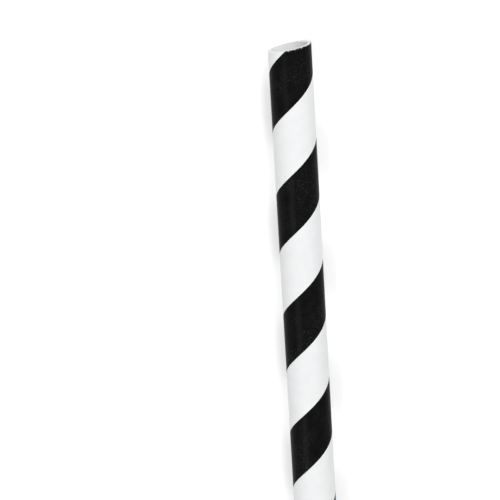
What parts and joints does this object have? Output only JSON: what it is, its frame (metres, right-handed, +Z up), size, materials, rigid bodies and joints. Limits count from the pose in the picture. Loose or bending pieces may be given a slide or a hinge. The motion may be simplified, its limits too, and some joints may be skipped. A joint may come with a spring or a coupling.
{
  "type": "paper drinking straw",
  "caption": "Straight paper drinking straw with a thin spiral-wound wall, a black and white spiral stripe, a slanted mouth and a square far end.",
  "frame": {"origin": "on the ground under the middle of the straw's length, with the straw lying on its side", "axes": "+X along the straw towards the mouth, +Z up, +Y to the side on which the slanted mouth is cut shorter"},
  "size_m": [0.197, 0.006, 0.006],
  "materials": {
    "white_paper": "matte",
    "black_print": "matte"
  },
  "bodies": {
    "root": {"paper_tube": "white_paper", "black_stripe": "black_print"}
  },
  "joints": []
}
